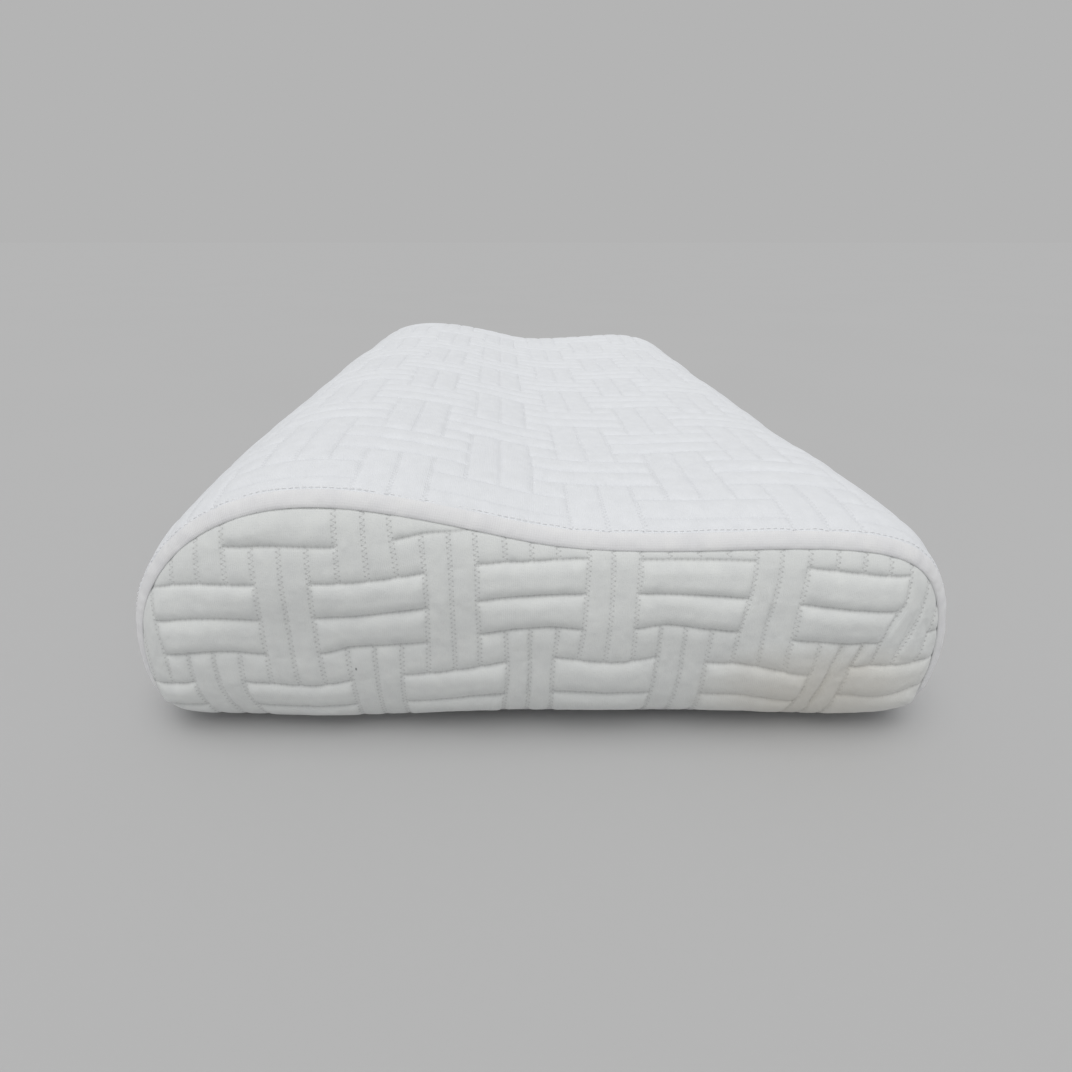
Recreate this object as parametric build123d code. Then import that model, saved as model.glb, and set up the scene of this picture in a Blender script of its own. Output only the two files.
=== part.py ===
"""Contour memory-foam bed pillow with a removable quilted cover.

Frame: +Z up, +Y along the pillow's length, +X from the tall neck lobe to the low lobe.
Origin: centre of the underside. Millimetres.

Every soft layer is a slice of one family of closed outlines: the mid-length outline of the
cover, moved inward by a distance d, placed at a station y along the length.
"""

import math
import os

from build123d import *

# ---- driving dimensions -------------------------------------------------------------------
HALF_LENGTH = 300.2        # centre to the crown of an end panel
SEAM_Y = 289.6             # plane of the end seam
WELT_IN_Y = 283.6          # inner edge of the turned welt, where the topstitch runs
END_PLANE_Y = 292.2        # where the rounding of the end would become vertical
END_ROUND = 11.9           # radius of that rounding
END_DROOP = 9.3            # how much the section shrinks at the ends
END_DROOP_LENGTH = 19.7    # how fast it does
MID_LENGTH = 150.0         # half the length over which the section stays constant

FABRIC = 3.2               # quilted knit, sewn thickness
TAPE_OUT, TAPE_IN = 3.3, 3.8      # zip tape, depth below the outer surface
LINER_OUT, LINER_IN = 5.3, 6.0    # knitted inner sleeve
FOAM_OUT = 6.25                   # moulded foam core

SLOT_HALF_HEIGHT = 6.5     # zip slot in the cover, half its height
SLOT_HALF_LENGTH = 222.0
TAPE_HALF_LENGTH = 226.0
TAPE_WIDTH = 13.0
COIL_HALF_LENGTH = 216.0
COIL_OUT, COIL_IN = 1.0, 3.2      # coil depth below the outer surface
COIL_GAP, COIL_EDGE = 0.5, 3.1    # coil extent across the zip, from its centre line
SLIDER_Y = -208.8          # slider centre with the zip closed, against the top stops
SLIDER_TRAVEL = 417.6      # to the bottom stop
PULL_LENGTH = 27.0
THREAD = 0.5

# control polygon of the mid-length outline, (x, z)
OUTLINE = [
    (-160.0, 0.0), (-194.5, 1.5), (-203.2, 37.4), (-191.4, 95.8), (-137.6, 132.3),
    (-85.6, 135.2), (-17.2, 119.7), (10.7, 112.5), (66.5, 111.5), (134.0, 115.4),
    (188.6, 103.1), (204.2, 37.0), (194.3, 1.5), (160.0, 0.0), (120.0, 0.0), (50.0, 0.0),
    (-50.0, 0.0), (-120.0, 0.0),
]
FLAT_HALF = 100.0          # the outline's underside is straight within this half width
SECTION_POINTS = 60


# ---- outline ------------------------------------------------------------------------------
def outline_points(n):
    """n points of the closed cubic B-spline, with unit inward normals."""
    m = len(OUTLINE)
    out = []
    for k in range(n):
        s = k * m / n
        i, t = int(s), s - int(s)
        p = [OUTLINE[(i + j - 1) % m] for j in range(4)]
        b = ((1 - t) ** 3 / 6, (3 * t**3 - 6 * t**2 + 4) / 6,
             (-3 * t**3 + 3 * t**2 + 3 * t + 1) / 6, t**3 / 6)
        d = (-(1 - t) ** 2 / 2, (3 * t**2 - 4 * t) / 2, (-3 * t**2 + 2 * t + 1) / 2, t**2 / 2)
        x, z = (sum(w * q[a] for w, q in zip(b, p)) for a in (0, 1))
        dx, dz = (sum(w * q[a] for w, q in zip(d, p)) for a in (0, 1))
        size = math.hypot(dx, dz)
        out.append((x, z, dz / size, -dx / size))  # the polygon runs clockwise seen along +Y
    return out


FINE = outline_points(720)
ZIP_X, ZIP_Z = min((p[0], p[1]) for p in outline_points(4000))   # widest point of the tall side


def inset_outline(d):
    """Points evenly spaced round the outline moved inward by d, from one end of the straight
    underside, up the tall side and over, to the other end."""
    n = len(FINE)
    moved = [(x + nx * d, z + nz * d) for x, z, nx, nz in FINE]
    if d > 6:      # drop what folds over itself in the tight corners
        near = 90
        moved = [q for k, q in enumerate(moved)
                 if min((q[0] - FINE[(k + j) % n][0]) ** 2 + (q[1] - FINE[(k + j) % n][1]) ** 2
                        for j in range(-near, near + 1, 2)) > (d - 0.05) ** 2]
    moved = [q for q in moved if abs(q[0]) > FLAT_HALF + 1 or q[1] > 60]
    first = max(range(len(moved)), key=lambda k: (moved[k][1] < 60) * (999 - abs(moved[k][0])) * (moved[k][0] < 0))
    moved = moved[first:] + moved[:first]
    moved = [(-FLAT_HALF, d)] + moved + [(FLAT_HALF, d)]
    lengths = [0.0]
    for a, b in zip(moved, moved[1:]):
        lengths.append(lengths[-1] + math.dist(a, b))
    out, i = [moved[0]], 0
    for k in range(1, SECTION_POINTS - 1):
        want = lengths[-1] * k / (SECTION_POINTS - 1)
        while lengths[i + 1] < want:
            i += 1
        t = (want - lengths[i]) / max(lengths[i + 1] - lengths[i], 1e-9)
        out.append((moved[i][0] + t * (moved[i + 1][0] - moved[i][0]),
                    moved[i][1] + t * (moved[i + 1][1] - moved[i][1])))
    return out + [moved[-1]]


def shrink(y):
    """How far the outer surface lies inside the mid-length outline at station y."""
    if abs(y) <= MID_LENGTH:
        return 0.0
    t = END_PLANE_Y - abs(y)
    corner = 0.0
    if t < END_ROUND:
        corner = END_ROUND * (1 - math.sqrt(max(0.0, 1 - (1 - t / END_ROUND) ** 2)))
    return corner + END_DROOP * math.exp(-t / END_DROOP_LENGTH)


def section(y, d):
    """Face: the outline moved inward by d, at station y."""
    pts = [Vector(x, y, z) for x, z in inset_outline(d)]
    over = Edge.make_spline(pts, tangents=(Vector(-1, 0, 0), Vector(-1, 0, 0)))
    return Face(Wire([over, Edge.make_line(pts[-1], pts[0])]))


def body(levels):
    """Solid through sections given as (y, d)."""
    return Solid(loft([section(y, d) for y, d in levels], ruled=True).wrapped)


def mirror_y(levels):
    return [(-y, d) for y, d in reversed(levels)] + levels if levels[0][0] > 0 else levels


def box(x0, x1, y0, y1, z0, z1):
    return Pos((x0 + x1) / 2, (y0 + y1) / 2, (z0 + z1) / 2) * Box(x1 - x0, y1 - y0, z1 - z0)


STATIONS = [150.0, 215.0, 245.0, 262.0, 274.0, 280.0, WELT_IN_Y]
os.makedirs("parts", exist_ok=True)
made = {}


def keep(name, *solids):
    shapes = [s for piece in solids for s in piece.solids()]
    made[name] = shapes
    whole = shapes[0] if len(shapes) == 1 else Compound(children=[*shapes])
    whole.label = name
    export_step(whole, f"parts/{name}.step")
    print(f"{name:22s} solids {len(shapes)}  volume {sum(s.volume for s in shapes) / 1000:10.3f} cm3")


# ---- foam core ----------------------------------------------------------------------------
foam_half = [(y, shrink(y) + FOAM_OUT + extra) for y, extra in
             [(150.0, 0), (215.0, 0), (245.0, 0), (262.0, 0), (272.0, 0.7), (280.0, 1.6)]]
foam_half += [(284.0, 13.6), (288.2, 17.4), (291.0, 20.6), (293.2, 25.0), (294.2, 31.0)]
keep("foam_core", body(mirror_y(foam_half)))

# ---- knitted inner sleeve -----------------------------------------------------------------
liner_out = [(y, shrink(y) + LINER_OUT + extra) for y, extra in
             [(150.0, 0), (215.0, 0), (245.0, 0), (262.0, 0), (272.6, 0.7), (280.6, 1.6)]]
liner_out += [(284.8, 12.8), (289.2, 16.8), (292.0, 19.9), (294.2, 24.3), (295.3, 30.5)]
liner_in = [(y - (0.0 if y < 270 else 0.35 + 0.01 * (y - 270)), d + (LINER_IN - LINER_OUT))
            for y, d in liner_out]
liner_in[-1] = (294.6, 31.0)
keep("core_liner", body(mirror_y(liner_out)) - body(mirror_y(liner_in)))

# ---- cover body: one wrap of quilted knit, closed by the zip --------------------------------
cover_out = [(y, shrink(y)) for y in STATIONS]
cover_in = [(y, shrink(y) + FABRIC) for y in STATIONS[:-1]] + [(WELT_IN_Y + 2, shrink(WELT_IN_Y) + FABRIC + 0.4)]
wrap = body(mirror_y(cover_out)) - body(mirror_y(cover_in))
slot = box(ZIP_X - 8, ZIP_X + 12, -SLOT_HALF_LENGTH, SLOT_HALF_LENGTH,
           ZIP_Z - SLOT_HALF_HEIGHT, ZIP_Z + SLOT_HALF_HEIGHT)
keep("cover_body", wrap - slot)

# ---- ends: welt, end panel and topstitch ----------------------------------------------------
WELT_LEVELS = [WELT_IN_Y + 0.15, 285.2, 286.8, 288.3, SEAM_Y - 0.2]
PANEL_OUT = [(SEAM_Y, 12.9), (293.2, 14.0), (296.8, 16.8), (299.2, 21.5), (HALF_LENGTH, 28.0)]
PANEL_IN = [(SEAM_Y - 1.0, 15.6), (290.3, 16.3), (293.3, 19.2), (295.6, 23.6), (296.6, 30.0)]
for name, sign in (("front", -1), ("back", 1)):
    def at(levels):
        return [(sign * y, d) for y, d in (levels if sign > 0 else levels[::-1])]

    welt_out = [(y, shrink(y)) for y in WELT_LEVELS]
    welt_in = [(WELT_LEVELS[0] - 1, shrink(WELT_LEVELS[0]) + 3.0)]
    welt_in += [(y, shrink(y) + 3.1) for y in WELT_LEVELS[1:-1]]
    welt_in += [(WELT_LEVELS[-1] + 1, shrink(WELT_LEVELS[-1]) + 3.4)]
    keep(f"edge_welt_{name}", body(at(welt_out)) - body(at(welt_in)))
    keep(f"end_panel_{name}", body(at(PANEL_OUT)) - body(at(PANEL_IN)))
    ty = WELT_IN_Y - 0.5
    proud = shrink(ty - THREAD)
    ring = body(at([(ty - THREAD, proud - 0.62), (ty, proud - 0.62)])) - body(
        at([(ty - THREAD - 1, proud - 0.12), (ty + 1, proud - 0.12)]))
    keep(f"topstitch_{name}", ring)

# ---- zip: tapes, coils, stops ---------------------------------------------------------------
ZIP_STATIONS = [150.0, 215.0, TAPE_HALF_LENGTH + 6]
tape_shell = body(mirror_y([(y, shrink(y) + TAPE_OUT) for y in ZIP_STATIONS])) - body(
    mirror_y([(y, shrink(y) + TAPE_IN) for y in ZIP_STATIONS]))
for name, sign in (("upper", 1), ("lower", -1)):
    z0, z1 = sorted((ZIP_Z + sign * COIL_GAP, ZIP_Z + sign * TAPE_WIDTH))
    keep(f"zipper_tape_{name}",
         tape_shell & box(ZIP_X - 5, ZIP_X + 20, -TAPE_HALF_LENGTH, TAPE_HALF_LENGTH, z0, z1))
    z0, z1 = sorted((ZIP_Z + sign * COIL_GAP, ZIP_Z + sign * COIL_EDGE))
    coil = box(ZIP_X + COIL_OUT, ZIP_X + COIL_IN, -COIL_HALF_LENGTH, COIL_HALF_LENGTH, z0, z1)
    keep(f"zipper_coil_{name}", coil)

stop_x0, stop_x1 = ZIP_X + 0.3, ZIP_X + 3.2
tops = [box(stop_x0, stop_x1, -COIL_HALF_LENGTH - 3.0, -COIL_HALF_LENGTH - 0.1,
            ZIP_Z + a, ZIP_Z + b) for a, b in ((0.5, 3.3), (-3.3, -0.5))]
keep("zipper_top_stops", *[fillet(t.edges().filter_by(Axis.Y).group_by(Axis.X)[0], 0.6) for t in tops])
bottom = box(stop_x0, stop_x1, COIL_HALF_LENGTH + 0.1, COIL_HALF_LENGTH + 3.6, ZIP_Z - 3.3, ZIP_Z + 3.3)
keep("zipper_bottom_stop", fillet(bottom.edges().filter_by(Axis.Y).group_by(Axis.X)[0], 0.7))


def surface_x(z):
    """x of the tall side's outer surface at mid-length and height z."""
    best = min((p for p in outline_points(4000) if p[0] < -150), key=lambda p: abs(p[1] - z))
    return best[0]


rows = []
for sign in (1, -1):
    z = ZIP_Z + sign * (SLOT_HALF_HEIGHT + 2.4)
    x = surface_x(z)
    rows.append(box(x - 0.62, x - 0.12, -SLOT_HALF_LENGTH, SLOT_HALF_LENGTH,
                    z - THREAD / 2, z + THREAD / 2))
keep("zipper_stitching", *rows)
tacks = [box(ZIP_X - 0.75, ZIP_X - 0.15, y - 0.8, y + 0.8, ZIP_Z - 7.5, ZIP_Z + 7.5)
         for y in (-SLOT_HALF_LENGTH - 1.4, SLOT_HALF_LENGTH + 1.4)]
keep("zipper_bartacks", *tacks)


# ---- slider and pull: l along +Y from the slider's centre, w up from the zip line, h outward --
def local(l0, l1, w0, w1, h0, h1):
    return box(ZIP_X - h1, ZIP_X - h0, SLIDER_Y + l0, SLIDER_Y + l1, ZIP_Z + w0, ZIP_Z + w1)


def plate(outline, h0, h1):
    """Prism from an outline in (l, w), between two heights."""
    pts = [(ZIP_X - h0, SLIDER_Y + l, ZIP_Z + w) for l, w in outline]
    face = Face(Wire.make_polygon([Vector(*p) for p in pts], close=True))
    return Solid.extrude(face, Vector(-(h1 - h0), 0, 0))


HINGE_H = 1.85             # pull's crossbar height over the fabric line
shield = [(-7.0, -4.6), (-5.6, -5.3), (1.5, -5.3), (5.6, -4.1), (7.0, -3.9),
          (7.0, 3.9), (5.6, 4.1), (1.5, 5.3), (-5.6, 5.3), (-7.0, 4.6)]
under = [(-6.4, -4.3), (1.2, -4.5), (6.4, -3.6), (6.4, 3.6), (1.2, 4.5), (-6.4, 4.3)]
top_plate = plate(shield, -0.7, 0.85)
top_plate = fillet(top_plate.faces().sort_by(Axis.X)[0].edges(), 0.5)
flanges = [plate([(-5.6, s * 3.6), (1.5, s * 3.6), (6.4, s * 3.35), (6.4, s * 4.0),
                  (5.6, s * 4.1), (1.5, s * 5.3), (-5.6, s * 5.3)], -2.9, -0.6) for s in (1, -1)]
bottom_plate = plate(under, -5.0, -4.2)
web = local(-5.0, -1.0, -0.28, 0.28, -4.3, -0.6)
bail = local(-4.2, 4.2, -0.9, 0.9, 0.7, 3.7)
bail = fillet(bail.edges().filter_by(Axis.Z).group_by(Axis.X)[0], 1.3)
bail = bail - local(-2.5, 2.5, -2, 2, 0.85, 2.75)
slider = top_plate + flanges[0] + flanges[1] + bottom_plate + web + bail
keep("zipper_slider", slider)

arm_in, arm_out, thick = 1.35, 3.1, 1.2
h0, h1 = HINGE_H - thick / 2, HINGE_H + thick / 2
tab = plate([(-0.65, -arm_out), (8.0, -arm_out), (12.0, -3.7), (PULL_LENGTH - 2.2, -3.9), (PULL_LENGTH, -2.2),
             (PULL_LENGTH, 2.2), (PULL_LENGTH - 2.2, 3.9), (12.0, 3.7), (8.0, arm_out), (-0.65, arm_out)], h0, h1)
tab = tab - local(0.0, 5.2, -arm_in, arm_in, h0 - 1, h1 + 1) - local(-2.0, 0.01, -arm_in, arm_in, h0 - 1, h1 + 1)
bar = Solid(Solid.make_cylinder(0.62, 2 * arm_out - 0.4, Plane(
    origin=(ZIP_X - HINGE_H, SLIDER_Y, ZIP_Z - arm_out + 0.2), z_dir=(0, 0, 1))).wrapped)
window = plate([(PULL_LENGTH - 9.5, -1.6), (PULL_LENGTH - 3.6, -1.6), (PULL_LENGTH - 3.6, 1.6),
                (PULL_LENGTH - 9.5, 1.6)], h0 - 1, h1 + 1)
tab = tab - window
keep("zipper_pull", tab + bar)

# ---- care label, hanging from the lower zip seam ---------------------------------------------
lab_x = ZIP_X - 0.55
keep("care_label", box(lab_x - 0.45, lab_x, 120.0, 152.0, ZIP_Z - SLOT_HALF_HEIGHT - 28.0,
                       ZIP_Z - SLOT_HALF_HEIGHT - 3.6))

print("zip line x, z:", round(ZIP_X, 3), round(ZIP_Z, 3))
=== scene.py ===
import math

import bpy
import numpy as np
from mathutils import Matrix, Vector


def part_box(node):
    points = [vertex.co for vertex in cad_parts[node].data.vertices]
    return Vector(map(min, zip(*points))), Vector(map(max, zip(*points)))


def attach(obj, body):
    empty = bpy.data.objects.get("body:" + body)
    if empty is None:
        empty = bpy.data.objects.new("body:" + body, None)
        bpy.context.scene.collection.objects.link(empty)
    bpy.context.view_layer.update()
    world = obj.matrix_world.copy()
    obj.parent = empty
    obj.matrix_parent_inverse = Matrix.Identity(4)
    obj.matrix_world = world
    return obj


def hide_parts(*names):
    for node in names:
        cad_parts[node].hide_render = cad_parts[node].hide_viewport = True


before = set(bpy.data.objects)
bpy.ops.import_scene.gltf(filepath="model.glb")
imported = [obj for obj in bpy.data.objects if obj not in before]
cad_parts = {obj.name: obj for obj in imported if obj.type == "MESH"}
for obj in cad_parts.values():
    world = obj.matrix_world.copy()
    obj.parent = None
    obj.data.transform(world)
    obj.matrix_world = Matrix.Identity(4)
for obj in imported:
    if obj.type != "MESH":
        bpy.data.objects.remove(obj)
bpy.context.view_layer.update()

# Lengths below are millimetres until mesh() writes metres.

# ------------------------------------------------------------------------------------------
# The outline of the pillow at mid-length: closed cubic B-spline, the same one the solids use
# ------------------------------------------------------------------------------------------
CONTROL = np.array([
    (-160.0, 0.0), (-194.5, 1.5), (-203.2, 37.4), (-191.4, 95.8), (-137.6, 132.3),
    (-85.6, 135.2), (-17.2, 119.7), (10.7, 112.5), (66.5, 111.5), (134.0, 115.4),
    (188.6, 103.1), (204.2, 37.0), (194.3, 1.5), (160.0, 0.0), (120.0, 0.0), (50.0, 0.0),
    (-50.0, 0.0), (-120.0, 0.0)])


def outline(n=24000):
    m = len(CONTROL)
    u = np.arange(n) * m / n
    i, t = u.astype(int), (u - u.astype(int))[:, None]
    p = [CONTROL[(i + j - 1) % m] for j in range(4)]
    b = ((1 - t) ** 3 / 6, (3 * t**3 - 6 * t**2 + 4) / 6, (-3 * t**3 + 3 * t**2 + 3 * t + 1) / 6, t**3 / 6)
    d = (-(1 - t) ** 2 / 2, (3 * t**2 - 4 * t) / 2, (-3 * t**2 + 2 * t + 1) / 2, t**2 / 2)
    pos = sum(w * q for w, q in zip(b, p))
    der = sum(w * q for w, q in zip(d, p))
    der /= np.hypot(der[:, 0], der[:, 1])[:, None]
    nor = np.stack([der[:, 1], -der[:, 0]], 1)
    step = np.hypot(*(np.roll(pos, -1, 0) - pos).T)
    return pos, nor, np.concatenate([[0.0], np.cumsum(step)[:-1]]), step.sum()


PROFILE, INWARD, ARC, GIRTH = outline()
S_ZERO = ARC[np.argmin(np.abs(PROFILE[:, 0]) + 1e3 * (PROFILE[:, 1] < 60))]
_arc = np.append(ARC, GIRTH)
_cols = [np.append(a, a[0]) for a in (PROFILE[:, 0], PROFILE[:, 1], INWARD[:, 0], INWARD[:, 1])]


def on_profile(s):
    """x, z, inward nx, nz at arc length s, counted from x = 0 on the top towards +X."""
    q = np.mod(np.asarray(s, float) + S_ZERO, GIRTH)
    return [np.interp(q, _arc, c) for c in _cols]


def s_of(x, z):
    s = ARC[np.argmin((PROFILE[:, 0] - x) ** 2 + (PROFILE[:, 1] - z) ** 2)] - S_ZERO
    return (s + GIRTH / 2) % GIRTH - GIRTH / 2


END_PLANE, END_ROUND, DROOP, DROOP_LENGTH = 292.2, 11.9, 9.3, 19.7
SEAM_Y, WELT_Y, BULGE = 289.6, 283.6, 10.4
STITCH_Y = 282.7


def shrink(y):
    t = END_PLANE - np.abs(y)
    corner = np.where(t < END_ROUND, END_ROUND * (1 - np.sqrt(np.clip(1 - (1 - t / END_ROUND) ** 2, 0, None))), 0)
    return corner + DROOP * np.exp(-t / DROOP_LENGTH)


def smooth(x, a=0.0, b=1.0):
    t = np.clip((x - a) / (b - a), 0, 1)
    return t * t * (3 - 2 * t)


# slow departures of the stuffed cover from that outline: (x, z) on the outline, reach round it,
# y, reach along y, millimetres outward
LUMPS = [
    (174, 102, 46, -90, 72, -2.6), (174, 102, 46, 70, 95, -1.4),
    (128, 113, 44, 262, 34, 5.0), (60, 111, 40, 262, 34, 2.2),
    (-168, 110, 34, -235, 42, -1.6), (-182, 92, 24, -285, 30, -1.2),
    (-164, 113, 36, 190, 62, -2.4), (-100, 132, 42, 262, 34, -1.6),
    (180, 88, 24, -282, 22, -1.0), (-128, 126, 34, -285, 30, -0.6),
    (200, 45, 44, -284, 26, -1.6), (-200, 45, 40, -284, 26, -1.1),
    (-188, 6, 20, -284, 26, -2.2), (190, 8, 20, -284, 26, -1.2),
]
_lump_s = [s_of(x, z) for x, z, *_ in LUMPS]


def around(s, s0):
    return (np.asarray(s) - s0 + GIRTH / 2) % GIRTH - GIRTH / 2


def tuck(s):
    """How far the end seam is drawn in towards the middle, along the bottom edge only."""
    _, z, _, nz = on_profile(s)
    return 7.0 * smooth(nz, 0.05, 1.0)


def lumps(s, y):
    out = 0.0
    for (x, z, ws, y0, wy, a), s0 in zip(LUMPS, _lump_s):
        out = out + a * np.exp(-((around(s, s0) / ws) ** 2) - ((y - y0) / wy) ** 2)
    return out


# ------------------------------------------------------------------------------------------
# Noise
# ------------------------------------------------------------------------------------------
def noise(x, y, cell, seed, octaves=1):
    """Smooth noise in about -1..1; x and y in millimetres, cell the size of one lump."""
    total, norm = 0.0, 0.0
    for o in range(octaves):
        table = np.random.RandomState(seed + 101 * o).uniform(-1, 1, (64, 64))
        fx, fy = np.asarray(x) / cell * 2**o + 11.3 * o, np.asarray(y) / cell * 2**o + 5.7 * o
        fx, fy = np.broadcast_arrays(fx, fy)
        ix, iy = np.floor(fx).astype(int), np.floor(fy).astype(int)
        tx, ty = fx - ix, fy - iy
        tx, ty = tx**3 * (tx * (tx * 6 - 15) + 10), ty**3 * (ty * (ty * 6 - 15) + 10)
        a, b = table[ix % 64, iy % 64], table[(ix + 1) % 64, iy % 64]
        c, d = table[ix % 64, (iy + 1) % 64], table[(ix + 1) % 64, (iy + 1) % 64]
        total = total + ((a * (1 - tx) + b * tx) * (1 - ty) + (c * (1 - tx) + d * tx) * ty) * 0.5**o
        norm += 0.5**o
    return 1.6 * total / norm


# ------------------------------------------------------------------------------------------
# The quilting: a basket weave that repeats every 6 columns and 6 rows of stitching
# ------------------------------------------------------------------------------------------
def stripes(c, r):
    """Bounds of the padded stripe that holds fabric point (c, r): c0, c1, r0, r1, and its kind."""
    c, r = np.mod(c, 6), np.mod(r, 6)
    cs, rs = np.where(c < 1, c + 6, c), np.where(r < 1, r + 6, r)
    up_a = (c >= 4) & (r < 4)
    up_b = (c >= 1) & (c < 3) & (rs >= 3)
    flat_a = (r >= 1) & (r < 3) & (c < 4)
    flat_b = (r >= 4) & (cs >= 3)
    c0, r0 = np.floor(c), np.floor(r)
    c1, r1 = c0 + 1, r0 + 1
    pick = np.select
    lo_c = pick([flat_a, flat_b], [c * 0, c * 0 + 3], c0)
    hi_c = pick([flat_a, flat_b], [c * 0 + 4, c * 0 + 7], c1)
    lo_r = pick([up_a, up_b], [r * 0, r * 0 + 3], r0)
    hi_r = pick([up_a, up_b], [r * 0 + 4, r * 0 + 7], r1)
    pc = pick([flat_b], [cs], c)
    pr = pick([up_b], [rs], r)
    kind = pick([up_a | up_b, flat_a | flat_b], [c * 0 + 1, c * 0 + 2], c * 0)
    return pc - lo_c, hi_c - pc, pr - lo_r, hi_r - pr, hi_c - lo_c, hi_r - lo_r, kind


def periodic_blur(a, sx, sy):
    fx = np.fft.fftfreq(a.shape[1])[None, :]
    fy = np.fft.fftfreq(a.shape[0])[:, None]
    k = np.exp(-2 * (np.pi**2) * ((fx * sx) ** 2 + (fy * sy) ** 2))
    return np.fft.ifft2(np.fft.fft2(a) * k).real


class Quilt:
    """Height of the padding over one repeat, in millimetres, 0 at the bottom of a row of stitching."""

    def __init__(self, pitch_c, pitch_r, flat, upright, single, crease=0.5, step=0.2):
        self.pc, self.pr = pitch_c, pitch_r
        nx, ny = int(6 * pitch_c / step), int(6 * pitch_r / step)
        c = (np.arange(nx) + 0.5)[None, :] / nx * 6 + np.zeros((ny, 1))
        r = (np.arange(ny) + 0.5)[:, None] / ny * 6 + np.zeros((1, nx))
        a, b, t, d, w, h, kind = stripes(c, r)
        dc, dr = np.minimum(a, b) * pitch_c, np.minimum(t, d) * pitch_r
        half_c, half_r = np.minimum(w * pitch_c / 2, 4.6), np.minimum(h * pitch_r / 2, 7.4)
        fc = 1 - (1 - np.clip(dc / half_c, 0, 1)) ** 2.6
        fr = 1 - (1 - np.clip(dr / half_r, 0, 1)) ** 2.5
        top = np.select([kind == 1, kind == 2], [upright, flat], single)
        height = top * fr * (0.22 + 0.78 * fc)
        height -= crease * np.exp(-((dr / 0.75) ** 2)) + 0.55 * crease * np.exp(-((dc / 0.6) ** 2))
        self.tile = periodic_blur(height, 0.42 / step, 0.42 / step)
        self.mean = float(self.tile.mean())

    def __call__(self, c, r):
        ny, nx = self.tile.shape
        x, y = np.mod(c, 6) / 6 * nx - 0.5, np.mod(r, 6) / 6 * ny - 0.5
        ix, iy = np.floor(x).astype(int), np.floor(y).astype(int)
        tx, ty = x - ix, y - iy
        t = self.tile
        g = lambda i, j: t[j % ny, i % nx]
        return (g(ix, iy) * (1 - tx) + g(ix + 1, iy) * tx) * (1 - ty) + (
            g(ix, iy + 1) * (1 - tx) + g(ix + 1, iy + 1) * tx) * ty


# ------------------------------------------------------------------------------------------
# Mesh helpers
# ------------------------------------------------------------------------------------------
def mesh(name, verts_mm, faces, material, floats=None, body="cover", replaces=(), shade=True):
    me = bpy.data.meshes.new(name)
    verts = np.ascontiguousarray(np.asarray(verts_mm, np.float64).reshape(-1, 3) / 1000.0)
    faces = np.asarray(faces, np.int32)
    me.vertices.add(len(verts))
    me.vertices.foreach_set("co", verts.astype(np.float32).ravel())
    k = faces.shape[1]
    me.loops.add(faces.size)
    me.loops.foreach_set("vertex_index", faces.ravel())
    me.polygons.add(len(faces))
    me.polygons.foreach_set("loop_start", np.arange(0, faces.size, k, dtype=np.int32))
    me.polygons.foreach_set("use_smooth", np.full(len(faces), shade))
    me.update(calc_edges=True)
    me.validate()
    for key, val in (floats or {}).items():
        at = me.attributes.new(key, "FLOAT", "POINT")
        at.data.foreach_set("value", np.asarray(val, np.float32).ravel())
    ob = bpy.data.objects.new(name, me)
    bpy.context.scene.collection.objects.link(ob)
    me.materials.append(material)
    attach(ob, body)
    if replaces:
        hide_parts(*replaces)
    return ob


def grid_faces(n, m, close_n=False, close_m=False, flip=False):
    """Quads of an n by m grid of vertices, vertex (i, j) at i * m + j."""
    i = np.arange(n if close_n else n - 1)[:, None]
    j = np.arange(m if close_m else m - 1)[None, :]
    i2, j2 = (i + 1) % n, (j + 1) % m
    q = np.stack([np.broadcast_arrays(i * m + j, i2 * m + j, i2 * m + j2, i * m + j2)[k].ravel()
                  for k in range(4)], 1)
    return q[:, ::-1] if flip else q


def tubes(paths, radius, sides=6, taper=True):
    """Verts and quads of thin threads: paths is (count, points, 3)."""
    paths = np.asarray(paths, float)
    count, n, _ = paths.shape
    tan = np.gradient(paths, axis=1)
    tan /= np.linalg.norm(tan, axis=2)[..., None] + 1e-12
    ref = np.where(np.abs(tan[..., 2:3]) < 0.9, np.array([0, 0, 1.0]), np.array([1.0, 0, 0]))
    a = np.cross(tan, ref)
    a /= np.linalg.norm(a, axis=2)[..., None]
    b = np.cross(tan, a)
    rad = np.full(n, radius)
    if taper:
        rad = radius * np.sqrt(np.clip(1 - (np.linspace(-1, 1, n)) ** 6, 0.03, 1))
    ang = np.arange(sides) * 2 * np.pi / sides
    ring = (a[:, :, None, :] * np.cos(ang)[None, None, :, None] + b[:, :, None, :] * np.sin(ang)[None, None, :, None])
    v = paths[:, :, None, :] + ring * rad[None, :, None, None]
    one = grid_faces(n, sides, close_m=True, flip=True)
    f = (one[None] + (np.arange(count) * n * sides)[:, None, None]).reshape(-1, 4)
    return v.reshape(-1, 3), f


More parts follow.
